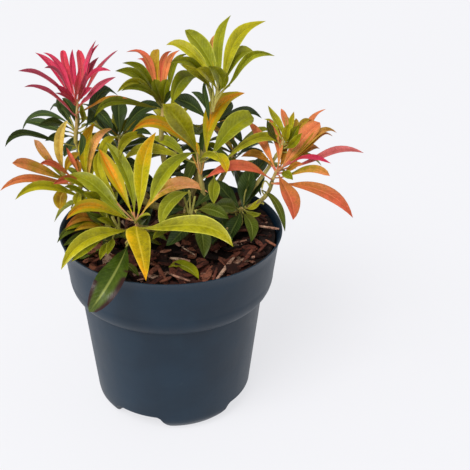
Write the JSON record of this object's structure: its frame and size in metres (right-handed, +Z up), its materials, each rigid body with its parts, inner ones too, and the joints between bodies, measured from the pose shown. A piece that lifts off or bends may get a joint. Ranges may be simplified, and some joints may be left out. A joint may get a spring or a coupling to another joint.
{
  "type": "pieris shrub in a nursery pot",
  "caption": "Young evergreen pieris shrub with red, orange and green leaf whorls on short woody stems, standing in a round plastic nursery pot with bark mulch.",
  "frame": {"origin": "middle of the pot's flat underside, on the surface it stands on", "axes": "+Z up, -Y towards the side seen in the picture, +X to that viewer's right"},
  "size_m": [0.285, 0.236, 0.331],
  "materials": {
    "pot": "smooth matte moulded plastic",
    "soil": "moist peat and bark mix",
    "mulch": "rough bark chips",
    "bark": "rough ridged bark, redder on young shoots",
    "leaves_red": "satin leaf",
    "leaves_coral": "satin leaf",
    "leaves_orange": "satin leaf",
    "leaves_yellow_green": "satin leaf",
    "leaves_olive": "satin leaf",
    "leaves_dark": "glossy leaf"
  },
  "bodies": {
    "root": {"pot": "pot", "soil": "soil", "bark_mulch": "mulch", "trunk": "bark", "bough_left": "bark", "bough_tall": "bark", "bough_middle": "bark", "bough_right": "bark", "bough_front": "bark", "bough_back": "bark", "bough_centre": "bark", "bough_back_right": "bark", "bough_low_left": "bark", "bough_low_right": "bark", "bough_low_centre": "bark", "bough_dark_left": "bark", "bough_back_left": "bark", "bough_red": "bark", "bough_far_left": "bark", "bough_coral": "bark", "bough_young": "bark", "foliage_red": "leaves_red", "foliage_left_dark": "leaves_dark", "foliage_mid_top": "leaves_olive", "foliage_dark_left": "leaves_dark", "foliage_tall": "leaves_yellow_green", "foliage_dark_tall": "leaves_dark", "foliage_centre": "leaves_orange", "foliage_low_centre": "leaves_dark", "foliage_front": "leaves_yellow_green", "foliage_left": "leaves_orange", "foliage_coral": "leaves_coral", "foliage_young": "leaves_yellow_green", "foliage_dark_right": "leaves_dark", "foliage_low_left": "leaves_dark", "foliage_hanging": "leaves_dark", "foliage_back_left": "leaves_dark", "foliage_back": "leaves_olive", "foliage_back_right": "leaves_dark", "foliage_back_low": "leaves_dark"}
  },
  "joints": []
}
